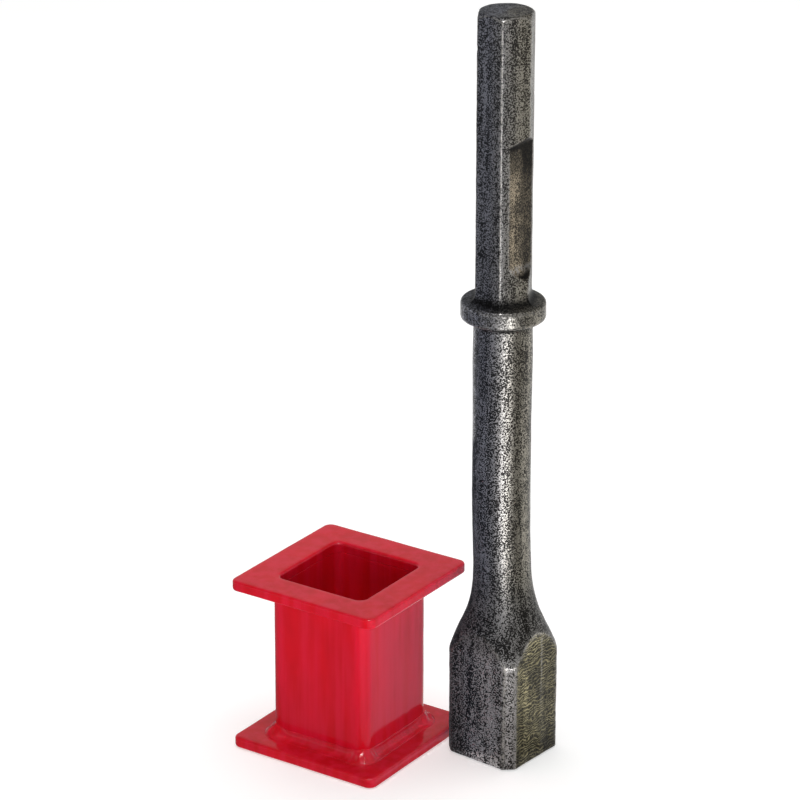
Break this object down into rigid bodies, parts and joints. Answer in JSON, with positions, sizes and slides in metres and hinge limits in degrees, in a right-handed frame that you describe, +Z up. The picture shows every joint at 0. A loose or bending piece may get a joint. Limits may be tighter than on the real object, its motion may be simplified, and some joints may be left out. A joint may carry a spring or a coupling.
{
  "type": "sign-post driver",
  "caption": "Post driver for a breaker: forged steel with hexagon shank, collar and square head, standing beside its flanged square sleeve.",
  "frame": {"origin": "on the standing surface, under the centre of the common outline of the two pieces", "axes": "+Z up along the driver steel and the sleeve's bore; X and Y along the sleeve's sides, the steel standing towards +X and +Y"},
  "size_m": [0.15, 0.1096, 0.426],
  "materials": {
    "forged_steel": "as forged, dark scale, pitted",
    "red_paint": "gloss",
    "painted_weld": "gloss paint over rippled weld"
  },
  "bodies": {
    "sleeve": {"sleeve_tube": "red_paint", "top_flange": "red_paint", "bottom_flange": "red_paint", "drive_plate": "red_paint", "drive_plate_weld": "painted_weld", "top_weld_right": "painted_weld", "top_weld_back": "painted_weld", "top_weld_left": "painted_weld", "top_weld_front": "painted_weld", "bottom_weld_right": "painted_weld", "bottom_weld_back": "painted_weld", "bottom_weld_left": "painted_weld", "bottom_weld_front": "painted_weld"},
    "driver": {"driver_steel": "forged_steel"}
  },
  "joints": [
    {"name": "driver_lift", "type": "slide", "parent": "sleeve", "child": "driver", "axis": [0, 0, 1], "range_m": [0, 0.15]}
  ]
}
